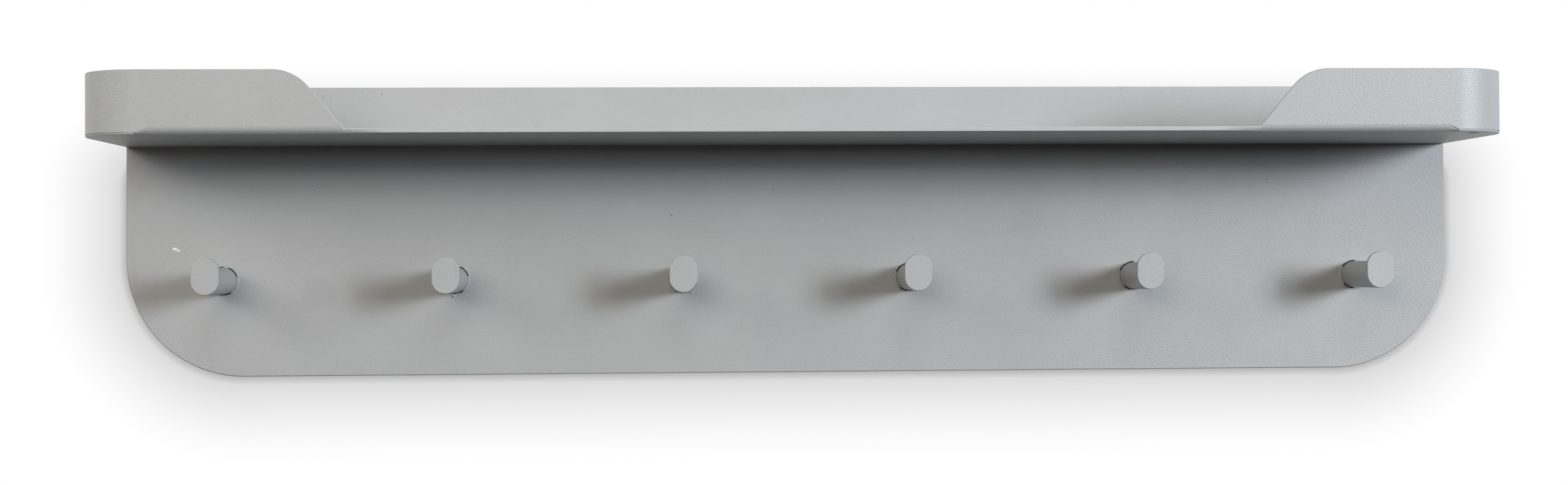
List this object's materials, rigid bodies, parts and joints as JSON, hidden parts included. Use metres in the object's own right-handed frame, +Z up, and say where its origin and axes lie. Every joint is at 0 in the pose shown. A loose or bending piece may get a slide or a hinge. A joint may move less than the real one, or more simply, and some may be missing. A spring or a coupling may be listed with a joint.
{
  "type": "peg rail with shelf",
  "caption": "Wall-hung sheet-steel rack: a shallow shelf tray, its front rim cut low in the middle, above a flat back plate with a row of round pegs whose oval caps keep loops on.",
  "frame": {"origin": "on the wall face of the back plate, midway between the two wall screw holes", "axes": "+X along the rack, +Y into the wall, +Z up; the shelf and the pegs stand out along -Y"},
  "size_m": [0.7, 0.102, 0.151],
  "materials": {
    "powder_coat": "matt light grey powder coat with a fine orange peel",
    "weld_metal": "bare dark weld that the coat doesn't reach"
  },
  "bodies": {
    "root": {"back_plate": "powder_coat", "shelf_tray": "powder_coat", "peg_shaft_1": "powder_coat", "peg_cap_1": "powder_coat", "peg_shaft_2": "powder_coat", "peg_cap_2": "powder_coat", "peg_shaft_3": "powder_coat", "peg_cap_3": "powder_coat", "peg_shaft_4": "powder_coat", "peg_cap_4": "powder_coat", "peg_shaft_5": "powder_coat", "peg_cap_5": "powder_coat", "peg_shaft_6": "powder_coat", "peg_cap_6": "powder_coat", "peg_welds": "weld_metal", "floor_seam_welds": "powder_coat", "corner_seam_weld_left": "powder_coat", "corner_seam_weld_right": "powder_coat", "end_joint_weld_left": "powder_coat", "end_joint_weld_right": "powder_coat"}
  },
  "joints": []
}
